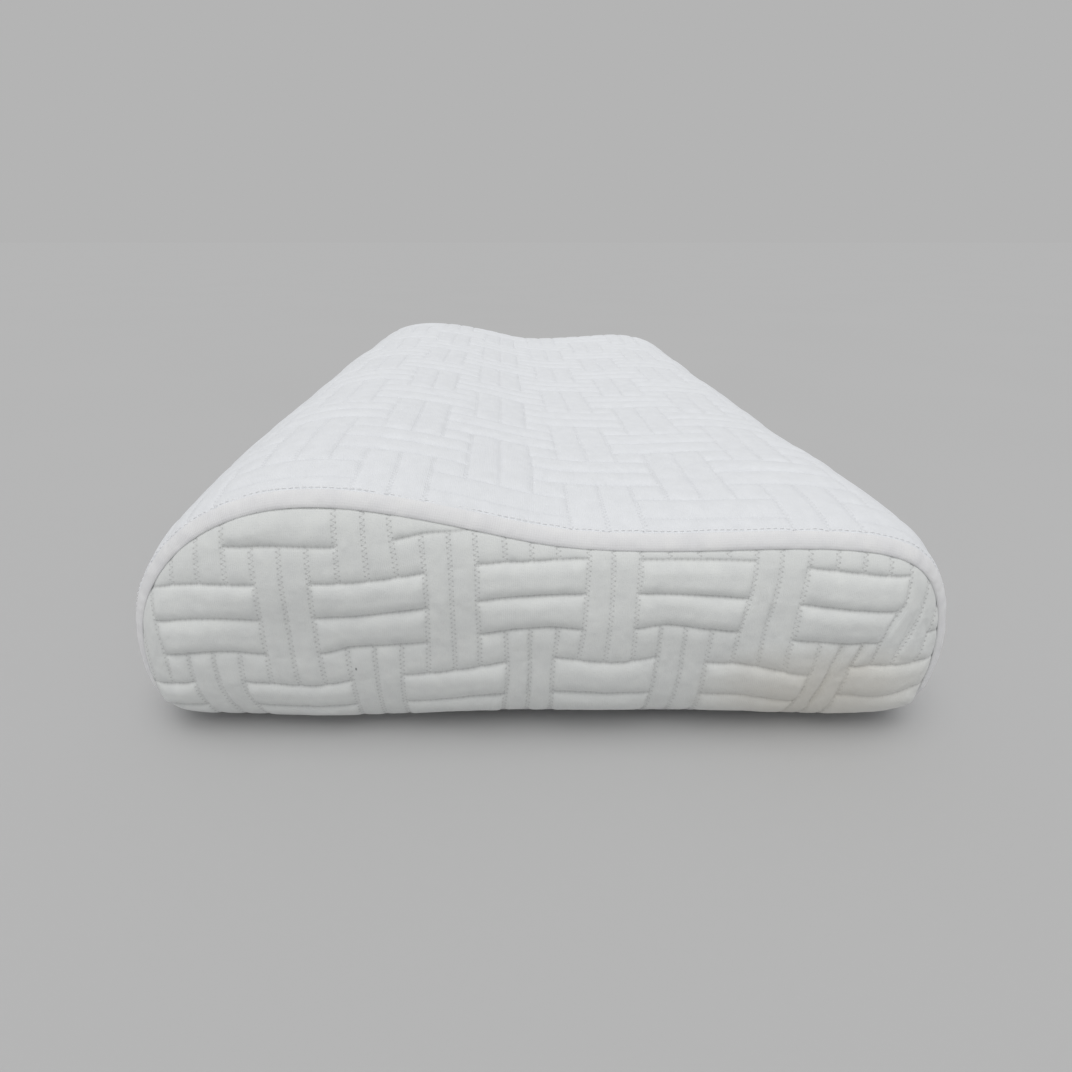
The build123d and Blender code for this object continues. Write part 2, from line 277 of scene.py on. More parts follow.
# ------------------------------------------------------------------------------------------
# Materials
# ------------------------------------------------------------------------------------------
class Nodes:
    def __init__(self, name):
        self.mat = bpy.data.materials.new(name)
        self.mat.use_nodes = True
        self.t = self.mat.node_tree
        self.t.nodes.clear()
        self.out = self.t.nodes.new("ShaderNodeOutputMaterial")
        self.bsdf = self.t.nodes.new("ShaderNodeBsdfPrincipled")
        self.t.links.new(self.bsdf.outputs[0], self.out.inputs[0])

    def put(self, socket, value):
        if isinstance(value, bpy.types.NodeSocket):
            self.t.links.new(value, socket)
        elif value is not None:
            socket.default_value = value

    def math(self, op, a, b=None, c=None, clamp=False):
        n = self.t.nodes.new("ShaderNodeMath")
        n.operation, n.use_clamp = op, clamp
        for k, v in enumerate((a, b, c)):
            if v is not None:
                self.put(n.inputs[k], v)
        return n.outputs[0]

    def attribute(self, name):
        n = self.t.nodes.new("ShaderNodeAttribute")
        n.attribute_name = name
        return n.outputs["Fac"]

    def combine(self, x, y, z=0.0):
        n = self.t.nodes.new("ShaderNodeCombineXYZ")
        for k, v in enumerate((x, y, z)):
            self.put(n.inputs[k], v)
        return n.outputs[0]

    def position(self):
        n = self.t.nodes.new("ShaderNodeTexCoord")
        return n.outputs["Object"]

    def noise(self, vector, scale, detail=2.0, rough=0.5):
        n = self.t.nodes.new("ShaderNodeTexNoise")
        self.put(n.inputs["Vector"], vector)
        n.inputs["Scale"].default_value = scale
        n.inputs["Detail"].default_value = detail
        n.inputs["Roughness"].default_value = rough
        return n.outputs["Fac"]

    def voronoi(self, vector, scale, feature="F1"):
        n = self.t.nodes.new("ShaderNodeTexVoronoi")
        n.feature = feature
        self.put(n.inputs["Vector"], vector)
        n.inputs["Scale"].default_value = scale
        return n.outputs["Distance"]

    def ramp(self, fac, stops):
        n = self.t.nodes.new("ShaderNodeValToRGB")
        self.put(n.inputs[0], fac)
        el = n.color_ramp.elements
        while len(el) < len(stops):
            el.new(0.5)
        for e, (p, c) in zip(el, stops):
            e.position, e.color = p, (*c, 1.0) if len(c) == 3 else c
        return n.outputs[0]

    def mix(self, fac, a, b):
        n = self.t.nodes.new("ShaderNodeMix")
        n.data_type = "RGBA"
        self.put(n.inputs[0], fac)
        self.put(n.inputs[6], a)
        self.put(n.inputs[7], b)
        return n.outputs[2]

    def bump(self, height, distance, strength=1.0, normal=None):
        n = self.t.nodes.new("ShaderNodeBump")
        n.inputs["Strength"].default_value = strength
        n.inputs["Distance"].default_value = distance
        self.put(n.inputs["Height"], height)
        if normal is not None:
            self.t.links.new(normal, n.inputs["Normal"])
        return n.outputs[0]

    def set(self, **kw):
        names = {"color": "Base Color", "rough": "Roughness", "metal": "Metallic", "normal": "Normal",
                 "sheen": "Sheen Weight", "sheen_rough": "Sheen Roughness", "spec": "Specular IOR Level",
                 "coat": "Coat Weight", "sss": "Subsurface Weight"}
        for k, v in kw.items():
            self.put(self.bsdf.inputs[names[k]], v)
        return self


def lin(*srgb):
    return tuple((v / 255 / 12.92 if v / 255 <= 0.04045 else ((v / 255 + 0.055) / 1.055) ** 2.4) for v in srgb)


def quilted_knit(name, pitch_c, pitch_r, tint_a, tint_b, hole_and_shade_colour, thread_tone, hole_and_shade_strength, specks=(), yellowing_and_shade=None):
    """White jersey, quilted: zigzag thread on the columns, straight thread in the rows, knit ribs, darkened needle
    holes and painted shade along the row grooves.
    """
    m = Nodes(name)
    c, r = m.attribute("fab_c"), m.attribute("fab_r")
    u, v = m.math("MULTIPLY", c, pitch_c), m.math("MULTIPLY", r, pitch_r)
    # columns
    near = m.math("ROUND", c)
    off = m.math("MULTIPLY", m.math("SUBTRACT", c, near), pitch_c)
    zig = m.math("MULTIPLY_ADD", m.math("PINGPONG", v, 1.2), 1.25, -0.75)
    away = m.math("ABSOLUTE", m.math("SUBTRACT", off, zig))
    thread_c = m.math("SUBTRACT", 1.0, m.math("MULTIPLY", away, 2.6), clamp=True)
    low = m.math("FLOORED_MODULO", m.math("ADD", near, 2.0), 6.0)
    is_a = m.math("LESS_THAN", low, 2.5)
    in_a = m.math("LESS_THAN", m.math("FLOORED_MODULO", r, 6.0), 4.0)
    in_b = m.math("LESS_THAN", m.math("FLOORED_MODULO", m.math("SUBTRACT", r, 3.0), 6.0), 4.0)
    has_c = m.math("ADD", m.math("MULTIPLY", is_a, in_a),
                   m.math("MULTIPLY", m.math("SUBTRACT", 1.0, is_a), in_b), clamp=True)
    thread_c = m.math("MULTIPLY", thread_c, has_c)
    # needle holes at the corners of the zigzag
    beat = m.math("PINGPONG", v, 1.2)
    hole_a = m.math("SQRT", m.math("ADD", m.math("POWER", m.math("ADD", off, 0.75), 2.0), m.math("POWER", beat, 2.0)))
    back = m.math("SUBTRACT", 1.2, beat)
    hole_b = m.math("SQRT", m.math("ADD", m.math("POWER", m.math("ADD", off, -0.75), 2.0), m.math("POWER", back, 2.0)))
    holes = m.math("SUBTRACT", 1.3, m.math("MULTIPLY", m.math("MINIMUM", hole_a, hole_b), 2.4), clamp=True)
    holes = m.math("MULTIPLY", holes, has_c)
    # rows
    near_r = m.math("ROUND", r)
    off_r = m.math("ABSOLUTE", m.math("MULTIPLY", m.math("SUBTRACT", r, near_r), pitch_r))
    dash = m.math("GREATER_THAN", m.math("PINGPONG", u, 1.25), 0.35)
    thread_r = m.math("MULTIPLY", m.math("SUBTRACT", 1.0, m.math("MULTIPLY", off_r, 2.4), clamp=True), dash)
    low_r = m.math("FLOORED_MODULO", m.math("SUBTRACT", near_r, 1.0), 6.0)
    r_a = m.math("LESS_THAN", low_r, 2.5)
    c_a = m.math("LESS_THAN", m.math("FLOORED_MODULO", c, 6.0), 4.0)
    c_b = m.math("LESS_THAN", m.math("FLOORED_MODULO", m.math("SUBTRACT", c, 3.0), 6.0), 4.0)
    has_r = m.math("ADD", m.math("MULTIPLY", r_a, c_a),
                   m.math("MULTIPLY", m.math("SUBTRACT", 1.0, r_a), c_b), clamp=True)
    thread_r = m.math("MULTIPLY", thread_r, has_r)
    thread = m.math("MAXIMUM", thread_c, thread_r)
    # painted shade: a band about a millimetre wide along each row of stitching is darkened, standing in for the shade
    # in its groove
    groove_shade = m.math("MULTIPLY", m.math("SUBTRACT", 1.0, m.math("MULTIPLY", off_r, 0.9), clamp=True), has_r)
    # needle holes, real dark marks, together with the painted shade of the row grooves
    holes_and_groove_shade = m.math("MAXIMUM", holes, m.math("MULTIPLY", groove_shade, m.math("MULTIPLY_ADD", dash, -0.35, 0.8)))
    # knit: wales along the columns, courses across them
    fabric = m.combine(u, v)
    wobble = m.noise(fabric, 0.35, 2.0)
    wale = m.math("PINGPONG", m.math("ADD", u, m.math("MULTIPLY", wobble, 0.8)), 0.42)
    course = m.math("PINGPONG", m.math("ADD", v, m.math("MULTIPLY", wobble, 0.6)), 0.3)
    knit = m.math("ADD", m.math("MULTIPLY", wale, 1.6), m.math("MULTIPLY", course, 0.7))
    fuzz = m.noise(fabric, 1.7, 4.0, 0.65)
    soft = m.noise(fabric, 0.12, 3.0, 0.55)
    tone = m.ramp(soft, [(0.3, tint_a), (0.72, tint_b)])
    tone = m.mix(m.math("MULTIPLY", fuzz, 0.10), tone, (*lin(205, 206, 208), 1))
    # needle holes and the painted shade in the row grooves are mixed towards the dark colour
    tone = m.mix(m.math("MULTIPLY", holes_and_groove_shade, hole_and_shade_strength), tone, (*hole_and_shade_colour, 1))
    tone = m.mix(m.math("MULTIPLY", thread_c, 0.25), tone, (*thread_tone, 1))
    if yellowing_and_shade is not None:
        # the cloth is slightly yellowed round one fabric point, and darkened there too as painted shade on the right
        # end of the panel
        wc, wr, rc, rr, colour = yellowing_and_shade
        dc, dr = m.math("DIVIDE", m.math("SUBTRACT", c, wc), rc), m.math("DIVIDE", m.math("SUBTRACT", r, wr), rr)
        far = m.math("ADD", m.math("MULTIPLY", dc, dc), m.math("MULTIPLY", dr, dr))
        yellowing_and_shade_patch = m.math("SUBTRACT", 1.0, m.math("MULTIPLY_ADD", soft, 0.5, m.math("SUBTRACT", far, 0.25)), clamp=True)
        tone = m.mix(m.math("MULTIPLY", yellowing_and_shade_patch, 0.75), tone, (*colour, 1))
    for sc, sr, size in specks:
        du = m.math("MULTIPLY", m.math("SUBTRACT", c, sc), pitch_c)
        dv = m.math("MULTIPLY", m.math("SUBTRACT", r, sr), pitch_r * 0.55)
        far = m.math("ADD", m.math("MULTIPLY", du, du), m.math("MULTIPLY", dv, dv))
        dot = m.math("SUBTRACT", 1.4, m.math("DIVIDE", far, size * size), clamp=True)
        tone = m.mix(m.math("MULTIPLY", dot, 0.75), tone, (*lin(96, 96, 98), 1))
    n1 = m.bump(knit, 0.00022, 0.6)
    n2 = m.bump(fuzz, 0.00028, 0.55, n1)
    n3 = m.bump(m.math("SUBTRACT", thread_c, m.math("MULTIPLY", holes_and_groove_shade, 1.3)), 0.00022, 0.6, n2)
    rough = m.math("MULTIPLY_ADD", fuzz, 0.12, 0.82)
    m.set(color=tone, rough=rough, normal=n3, sheen=0.12, sheen_rough=0.5, spec=0.25)
    return m.mat


# the third colour and the last number: needle holes and painted shade in the row grooves
mat_wrap = quilted_knit("quilted_knit_wrap", 16.1, 17.2, lin(236, 238, 241), lin(242, 244, 247),
                        lin(208, 211, 216), lin(248, 249, 252), 0.2)
# the third colour and the last number: needle holes and painted shade in the row grooves
END_TONES = lin(228, 230, 229), lin(235, 237, 235), lin(160, 160, 159), lin(238, 239, 238), 0.45
# the patch on the front end is real yellowing of the cloth plus painted shade towards its right end
mat_end = quilted_knit("quilted_knit_end", 11.72, 17.3, *END_TONES, specks=[(7.25, 3.6, 0.42)],
                       yellowing_and_shade=(26.0, 4.9, 5.6, 2.0, lin(224, 220, 211)))
mat_end_back = quilted_knit("quilted_knit_end_back", 11.72, 17.3, *END_TONES)


def plain_knit(name, colour_a, colour_b, spacing, depth):
    m = Nodes(name)
    u, v = m.attribute("fab_c"), m.attribute("fab_r")
    fabric = m.combine(u, v)
    wobble = m.noise(fabric, 0.3, 2.0)
    wale = m.math("PINGPONG", m.math("ADD", u, m.math("MULTIPLY", wobble, 0.7)), spacing)
    course = m.math("PINGPONG", m.math("ADD", v, m.math("MULTIPLY", wobble, 0.5)), spacing * 0.7)
    fuzz = m.noise(fabric, 1.5, 4.0, 0.6)
    soft = m.noise(fabric, 0.09, 3.0)
    tone = m.ramp(soft, [(0.3, colour_a), (0.72, colour_b)])
    tone = m.mix(m.math("MULTIPLY", fuzz, 0.10), tone, (*lin(205, 206, 208), 1))
    n1 = m.bump(m.math("ADD", wale, m.math("MULTIPLY", course, 0.6)), depth, 0.6)
    n2 = m.bump(fuzz, 0.00025, 0.5, n1)
    m.set(color=tone, rough=m.math("MULTIPLY_ADD", fuzz, 0.12, 0.82), normal=n2, sheen=0.12, sheen_rough=0.5, spec=0.25)
    return m.mat


mat_welt = plain_knit("plain_knit_welt", lin(233, 233, 235), lin(241, 241, 241), 0.5, 0.0003)
mat_liner = plain_knit("plain_knit_liner", lin(228, 228, 230), lin(238, 238, 238), 0.6, 0.0003)


def simple(name, build):
    m = Nodes(name)
    build(m)
    return m.mat


def thread_nodes(m):
    p = m.position()
    twist = m.noise(p, 2600.0, 2.0)
    tone = m.ramp(twist, [(0.3, lin(244, 244, 246)), (0.7, lin(252, 252, 252))])
    m.set(color=tone, rough=0.55, sheen=0.2, spec=0.4, normal=m.bump(twist, 0.00003, 0.5))


def foam_nodes(m):
    p = m.position()
    pore = m.voronoi(p, 620.0)
    big = m.noise(p, 24.0, 3.0)
    tone = m.ramp(big, [(0.3, lin(236, 228, 200)), (0.7, lin(243, 237, 214))])
    # painted shade: each pore is darker and yellower towards its centre, where the bump sinks it
    tone = m.mix(m.math("SUBTRACT", 1.0, m.math("MULTIPLY", pore, 2.6), clamp=True), tone, (*lin(214, 203, 170), 1))
    m.set(color=tone, rough=0.92, spec=0.2, normal=m.bump(pore, 0.0006, 0.7))


def tape_nodes(m):
    p = m.position()
    sep = m.t.nodes.new("ShaderNodeSeparateXYZ")
    m.t.links.new(p, sep.inputs[0])
    y, z = sep.outputs[1], sep.outputs[2]
    warp = m.math("PINGPONG", z, 0.00035)
    weft = m.math("PINGPONG", y, 0.00028)
    weave = m.math("MULTIPLY", m.math("ADD", m.math("MULTIPLY", warp, 1.4), weft), 1600.0)
    tone = m.ramp(m.noise(p, 300.0, 3.0), [(0.3, lin(222, 222, 224)), (0.7, lin(238, 238, 239))])
    m.set(color=tone, rough=0.75, sheen=0.15, spec=0.3, normal=m.bump(weave, 0.00015, 0.7))


def coil_nodes(m):
    p = m.position()
    n = m.noise(p, 900.0, 2.0)
    m.set(color=m.ramp(n, [(0.3, lin(226, 226, 224)), (0.7, lin(238, 238, 237))]),
          rough=m.math("MULTIPLY_ADD", n, 0.15, 0.3), spec=0.5, normal=m.bump(n, 0.00003, 0.5))


def paint_nodes(m):
    p = m.position()
    n, g = m.noise(p, 420.0, 3.0), m.noise(p, 2600.0, 2.0)
    m.set(color=m.ramp(n, [(0.25, lin(216, 217, 219)), (0.75, lin(233, 233, 234))]),
          rough=m.math("MULTIPLY_ADD", g, 0.12, 0.26), metal=0.0, coat=0.35, spec=0.55,
          normal=m.bump(m.math("ADD", n, m.math("MULTIPLY", g, 0.35)), 0.00005, 0.4))


def satin_nodes(m):
    u, v = m.attribute("fab_c"), m.attribute("fab_r")
    rib = m.math("PINGPONG", u, 0.22)
    weft = m.math("PINGPONG", v, 0.12)
    n = m.noise(m.combine(u, v), 0.25, 3.0)
    m.set(color=m.ramp(n, [(0.3, lin(243, 243, 242)), (0.7, lin(250, 250, 249))]),
          rough=0.38, sheen=0.25, spec=0.5, normal=m.bump(m.math("ADD", rib, weft), 0.00012, 0.5))


mat_thread = simple("sewing_thread", thread_nodes)
mat_foam = simple("memory_foam", foam_nodes)
mat_tape = simple("zip_tape", tape_nodes)
mat_coil = simple("zip_coil", coil_nodes)
mat_paint = simple("enamel", paint_nodes)
mat_satin = simple("label_satin", satin_nodes)

# ------------------------------------------------------------------------------------------
# Where the zip is, from its solids
# ------------------------------------------------------------------------------------------
MM = 1000.0
_lo, _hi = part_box("zipper_coil_upper")
_lo2, _hi2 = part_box("zipper_coil_lower")
ZIP_Z = (_lo[2] + _hi2[2]) / 2 * MM
COIL_X0, COIL_X1 = _lo[0] * MM, _hi[0] * MM
COIL_Y0, COIL_Y1 = _lo[1] * MM, _hi[1] * MM
ZIP_X = COIL_X0 - 1.0
S_ZIP = s_of(ZIP_X, ZIP_Z)
SLOT_H = 6.5
SLOT_Y = 222.0

# ------------------------------------------------------------------------------------------
# Cover body: the quilted wrap
# ------------------------------------------------------------------------------------------
PC, PR = 16.1, 17.2
S_AT, C_AT, Y_AT = 28.9, 2.0, -257.0
wrap_quilt = Quilt(PC, PR, flat=1.45, upright=1.1, single=1.0, crease=0.35)


def c_of_s(s):
    return C_AT + (s - S_AT) / PC


def lines(lo, hi, marks, base, fine, reach, extra=()):
    """Grid stations from lo to hi: base spacing, fine within reach of each mark, marks hit exactly."""
    x = np.linspace(lo, hi, int((hi - lo) / 0.05) + 1)
    dens = np.full(len(x), 1 / base)
    for m in marks:
        dens = np.maximum(dens, np.where(np.abs(x - m) < reach, 1 / fine, 0))
    for m, rr, ff in extra:
        dens = np.maximum(dens, np.where(np.abs(x - m) < rr, 1 / ff, 0))
    cum = np.concatenate([[0], np.cumsum((dens[1:] + dens[:-1]) / 2 * np.diff(x))])
    n = int(round(cum[-1])) + 1
    out = np.interp(np.linspace(0, cum[-1], n), cum, x)
    for m in list(marks) + [e[0] for e in extra]:
        if lo + 0.2 < m < hi - 0.2:
            out[1 + np.argmin(np.abs(out[1:-1] - m))] = m
    out = np.unique(np.round(out, 4))
    return out


def wrap_point(s, y, h):
    """Surface of the wrap, h outward."""
    x, z, nx, nz = on_profile(s)
    # the underside is drawn in under the ends
    yy = y - np.sign(y) * tuck(s) * smooth(np.abs(y), 225, 283.6)
    d = shrink(yy) - h - lumps(s, y)
    return np.stack(np.broadcast_arrays(x + nx * d, yy, z + nz * d), -1)


def slope_at(y):
    y = np.abs(y)
    return np.clip((shrink(y + 0.05) - shrink(y - 0.05)) / 0.1, 0, 2.2)


def wrap_frame(s, y, h):
    """Points on the wrap and the unit outward directions there."""
    x, z, nx, nz = on_profile(s)
    slope = slope_at(y) * np.sign(y)
    n = np.stack(np.broadcast_arrays(-nx, slope, -nz), -1)
    return wrap_point(s, y, h), n / np.linalg.norm(n, axis=-1)[..., None]


coarse = 1.0
s_lo, s_hi = S_ZIP, S_ZIP + GIRTH
c_marks = [S_AT + (k - C_AT) * PC for k in range(-80, 80)]
c_marks = [m for m in c_marks if s_lo + 8.5 < m < s_hi - 8.5]
s_lines = lines(s_lo, s_hi, c_marks, 2.5 * coarse, 0.85 * coarse, 1.3,
                [(s_lo + SLOT_H, 3.6, 0.45), (s_hi - SLOT_H, 3.6, 0.45), (s_lo, 2.0, 0.5), (s_hi, 2.0, 0.5)])
r_marks = [Y_AT + k * PR for k in range(-2, 33)]
r_marks = [m for m in r_marks if abs(m) < STITCH_Y - 1]
y_edge = WELT_Y + 1.0
y_lines = lines(-y_edge, y_edge, r_marks, 2.5 * coarse, 0.85 * coarse, 1.5,
                [(-SLOT_Y, 3.6, 0.45), (SLOT_Y, 3.6, 0.45), (-STITCH_Y, 5.0, 0.6), (STITCH_Y, 5.0, 0.6)])
SS, YY = np.meshgrid(s_lines, y_lines, indexing="ij")
CC, RR = c_of_s(SS), (YY - Y_AT) / PR


def cover_height(s, y, c, r):
    h = wrap_quilt(c, r) - wrap_quilt.mean
    h *= 1 + 0.16 * noise(s, y, 31.0, 5)
    h += 0.35 * noise(s, y, 46.0, 9, 2)
    # gathers along the topstitching
    edge = STITCH_Y - np.abs(y)
    h *= 1 - 0.5 * smooth(np.abs(y), 268, 282)
    h += 0.26 * np.exp(-np.clip(edge, 0, None) / 6.0) * noise(s, y * 0.25, 5.2, 21)
    h -= 0.4 * np.exp(-((edge / 1.0) ** 2))
    h -= 0.8 * smooth(-edge, 0.2, 1.6)
    # zip slot: the edge of the cloth rolls in to the tape
    a, b = np.abs(around(s, S_ZIP)) - SLOT_H, np.abs(y) - SLOT_Y
    out = np.hypot(np.clip(a, 0, None), np.clip(b, 0, None))
    roll = 3.3
    h = np.where(out < roll + 6, h * smooth(out, 0, roll + 6) + 0.25 * (1 - smooth(out, 0, roll + 6)), h)
    h -= np.where(out < roll, roll * (1 - np.sqrt(np.clip(1 - (1 - out / roll) ** 2, 0, 1))), 0)
    # sewn seam from each end of the zip to the end of the pillow
    seam = np.abs(around(s, S_ZIP))
    past = smooth(np.abs(y), SLOT_Y + 1.0, SLOT_Y + 6.0)
    h -= past * 1.9 * np.exp(-((seam / 1.5) ** 1.3))
    # stitching sits in a shallow channel each side of the slot
    h -= 0.5 * np.exp(-(((out - 2.9) / 0.8) ** 2)) * (np.abs(y) < SLOT_Y + 3)
    return h


HH = cover_height(SS, YY, CC, RR)
wob_s = 0.55 * noise(SS, YY, 38.0, 31)
wob_y = 0.6 * noise(SS, YY, 44.0, 37)
keep_edge = smooth(STITCH_Y - np.abs(YY), 0, 14) * smooth(np.abs(around(SS, S_ZIP)), SLOT_H + 2, SLOT_H + 14)
V = wrap_point(SS + wob_s * keep_edge, YY + wob_y * keep_edge, HH)
V[..., 2] = np.maximum(V[..., 2], 0.12 + 0.05 * (HH < 0))
faces = grid_faces(len(s_lines), len(y_lines))
si, yi = faces // len(y_lines), faces % len(y_lines)
mid_s = s_lines[si].mean(1)
mid_y = y_lines[yi].mean(1)
in_slot = (np.abs(around(mid_s, S_ZIP)) < SLOT_H - 0.02) & (np.abs(mid_y) < SLOT_Y - 0.02)
faces = faces[~in_slot]
used = np.unique(faces)
remap = np.full(V.shape[0] * V.shape[1], -1, int)
remap[used] = np.arange(len(used))
cover = mesh("quilted_cover", V.reshape(-1, 3)[used], remap[faces], mat_wrap,
             {"fab_c": CC.ravel()[used], "fab_r": RR.ravel()[used]}, replaces=["cover_body"])

# ------------------------------------------------------------------------------------------
# End panels
# ------------------------------------------------------------------------------------------
# Where the stitching runs on the -Y end, in millimetres: column number, x, z and row number, x, z
COLUMNS = [
    (0, -175, 75), (0, -174, 60), (1, -163, 90), (1, -161, 47), (1, -160, 25), (2, -150, 102), (2, -149, 47),
    (2, -148.5, 28), (2, -146.5, 18), (3, -137.5, 104), (3, -137, 47), (3, -137.5, 30), (4, -125, 103), (4, -124, 78),
    (4, -124.5, 45), (5, -113, 104), (5, -112.5, 70), (5, -112.5, 45), (6, -101, 104), (6, -100.7, 72), (6, -100, 42),
    (7, -89, 114), (7, -88, 57), (7, -87, 30), (8, -77, 114), (8, -75.7, 50), (8, -75.5, 25), (9, -66, 113),
    (9, -63.5, 96), (9, -63.5, 50), (9, -64.5, 28), (10, -52.7, 107), (10, -50.8, 78), (10, -51.5, 50),
    (11, -41, 105), (11, -40, 78), (11, -39.5, 50), (12, -30, 106), (12, -29, 78), (12, -28.4, 50),
    (13, -17, 100), (13, -16.4, 58), (13, -15.6, 42), (13, -17.4, 20), (14, -5.5, 99), (14, -6, 58), (14, -6, 32),
    (15, 6, 99), (15, 6, 60), (15, 4.6, 40), (15, 5, 26), (16, 19.5, 97), (16, 18.3, 76), (16, 16.7, 54),
    (17, 30, 97), (17, 29.6, 74), (17, 28.5, 52), (18, 42, 95), (18, 40.6, 74), (18, 40.8, 52), (19, 52, 66),
    (19, 51.5, 42), (19, 51, 22), (20, 63, 66), (20, 63, 42), (20, 62, 20), (21, 74.3, 57), (21, 74, 42),
    (21, 74.5, 22), (22, 92, 96), (22, 90, 82), (22, 87, 68), (22, 86, 54), (23, 103, 98), (23, 100.5, 80),
    (23, 98, 66), (23, 97.5, 50), (24, 115, 96), (24, 112, 78), (24, 111, 60), (24, 110, 51), (25, 127, 94),
    (25, 124, 57), (25, 123.3, 44), (25, 121.5, 26), (26, 139, 93), (26, 134, 57), (26, 131, 45), (26, 128.6, 25),
    (27, 151, 91), (27, 143.5, 58), (27, 140.3, 45), (27, 139, 26), (28, 161, 89), (28, 158.3, 75), (28, 153, 66),
    (28, 150.5, 55), (29, 171, 84), (29, 169, 72), (29, 165.5, 61), (29, 161, 51), (30, 178, 70), (30, 174.5, 52),
    (31, 186, 40), (-1, -184, 55), (0, -173, 35),
]
ROWS = [
    (0, -133, 104.5), (0, -112, 105.6), (0, -92, 105.2), (0, -64, 107.8), (0, -52, 110), (0, -40, 110.4),
    (1, -172, 83), (1, -160, 86), (1, -145, 87.7), (1, -126, 88.5), (1, -99, 89.6), (1, -82, 90), (1, -66, 91.8),
    (1, -55, 93.2), (1, -28, 96.8), (1, -5, 97.2), (1, 16, 97.6), (1, 44, 97), (1, 66, 97), (1, 90, 96.7),
    (1, 116, 93.8), (1, 135, 91.6), (1, 148, 90), (1, 159, 89.4), (2, -174, 67), (2, -164, 69.3), (2, -152, 71.4),
    (2, -127, 71.5), (2, -99, 72.7), (2, -80, 74), (2, -65, 76), (2, -53, 77.4), (2, -28, 81), (2, -12, 82.3),
    (2, 4, 83), (2, 17, 82.8), (2, 43, 83), (2, 65, 82.6), (2, 88, 81), (2, 112, 78.4), (2, 130, 76.4), (2, 145, 75),
    (2, 158, 74), (3, -177, 48.5), (3, -167, 51.2), (3, -155, 53.6), (3, -142, 54.8), (3, -126, 53.2), (3, -98, 54.2),
    (3, -87, 57.2), (3, -70, 58.6), (3, -53, 60), (3, -27, 64.2), (3, -12, 66.8), (3, 2, 67.8), (3, 17, 66.6),
    (3, 42, 66.8), (3, 52, 69), (3, 64, 68), (3, 86, 65.4), (3, 112, 61), (3, 126, 60), (3, 137, 58.8), (3, 150, 59.4),
    (4, -180, 31.5), (4, -170, 34), (4, -160, 36.8), (4, -137, 37.2), (4, -125, 36), (4, -112, 34.4), (4, -102, 34.8),
    (4, -89, 37.8), (4, -63, 41.6), (4, -50, 42.7), (4, -35, 45.2), (4, -18, 48.6), (4, 6, 51.4), (4, 18, 49.8),
    (4, 34, 48.6), (4, 51, 51.4), (4, 75, 48.5), (4, 90, 48), (4, 101, 46), (4, 111, 43.3), (4, 124, 41.4),
    (4, 141, 46.2), (4, 152, 46.6), (4, 162, 45.8), (4, 178, 45), (5, -165, 20), (5, -140, 21), (5, -112, 19),
    (5, -90, 21), (5, -60, 24), (5, -45, 25.2), (5, -30, 28), (5, -18, 28.8), (5, 8, 31), (5, 25, 30), (5, 48, 30),
    (5, 76, 29.2), (5, 92, 28.8), (5, 104, 26.4), (5, 121, 23.4), (5, 142, 28.6), (5, 155, 26.8), (5, 168, 27.4),
    (5, 180, 29.5),
]


def spline_through(points, values, stiff=0.6):
    """Thin-plate surface through scattered values."""
    p = np.asarray(points, float)
    n = len(p)
    d = np.linalg.norm(p[:, None] - p[None], axis=2)
    k = np.where(d > 0, d * d * np.log(np.maximum(d, 1e-9)), 0) + stiff * np.eye(n) * 8
    a = np.zeros((n + 3, n + 3))
    a[:n, :n] = k
    a[:n, n] = a[n, :n] = 1
    a[:n, n + 1:] = p
    a[n + 1:, :n] = p.T
    w = np.linalg.solve(a, np.concatenate([values, np.zeros(3)]))

    def at(x, z):
        out = np.empty(x.size)
        q = np.stack([x.ravel(), z.ravel()], 1)
        for i in range(0, len(q), 20000):
            e = np.linalg.norm(q[i:i + 20000, None] - p[None], axis=2)
            e = np.where(e > 0, e * e * np.log(np.maximum(e, 1e-9)), 0)
            out[i:i + 20000] = e @ w[:n] + w[n] + q[i:i + 20000] @ w[n + 1:]
        return out.reshape(x.shape)

    return at


col_xz = np.array([(x, z) for _, x, z in COLUMNS], float)
col_v = np.array([c for c, _, _ in COLUMNS], float)
row_xz = np.array([(x, z) for _, x, z in ROWS], float)
row_v = np.array([r for r, _, _ in ROWS], float)
# remove the straight part first, so that the spline carries only the departures
front_c = spline_through(col_xz, col_v - (11 + (col_xz[:, 0] + 39.8) / 11.72))
front_r = spline_through(row_xz, row_v - (1 + (96 - row_xz[:, 1]) / 17.0))

end_quilt_pad = Quilt(11.72, 17.3, flat=2.25, upright=1.55, single=1.5, crease=0.6)


S_TALL = s_of(-201, 40)


def beside(s):
    """1 on the tall side, fading out over its corners."""
    return np.exp(-((around(s, S_TALL) / 50) ** 2))


def seam_depth(s, side):
    """How far inside the outline the end seam lies at s."""
    y = SEAM_Y - tuck(s)
    return shrink(y) - lumps(s, side * SEAM_Y) - 0.9 * beside(s)


def coons(bottom, right, top, left):
    """bottom and top run towards +X, left and right upwards; corners shared."""
    n, m = len(bottom), len(left)
    u, v = np.linspace(0, 1, n)[:, None, None], np.linspace(0, 1, m)[None, :, None]
    ruled_v = (1 - v) * bottom[:, None] + v * top[:, None]
    ruled_u = (1 - u) * left[None] + u * right[None]
    bil = ((1 - u) * (1 - v) * bottom[0] + u * (1 - v) * bottom[-1] + (1 - u) * v * top[0] + u * v * top[-1])
    return ruled_v + ruled_u - bil


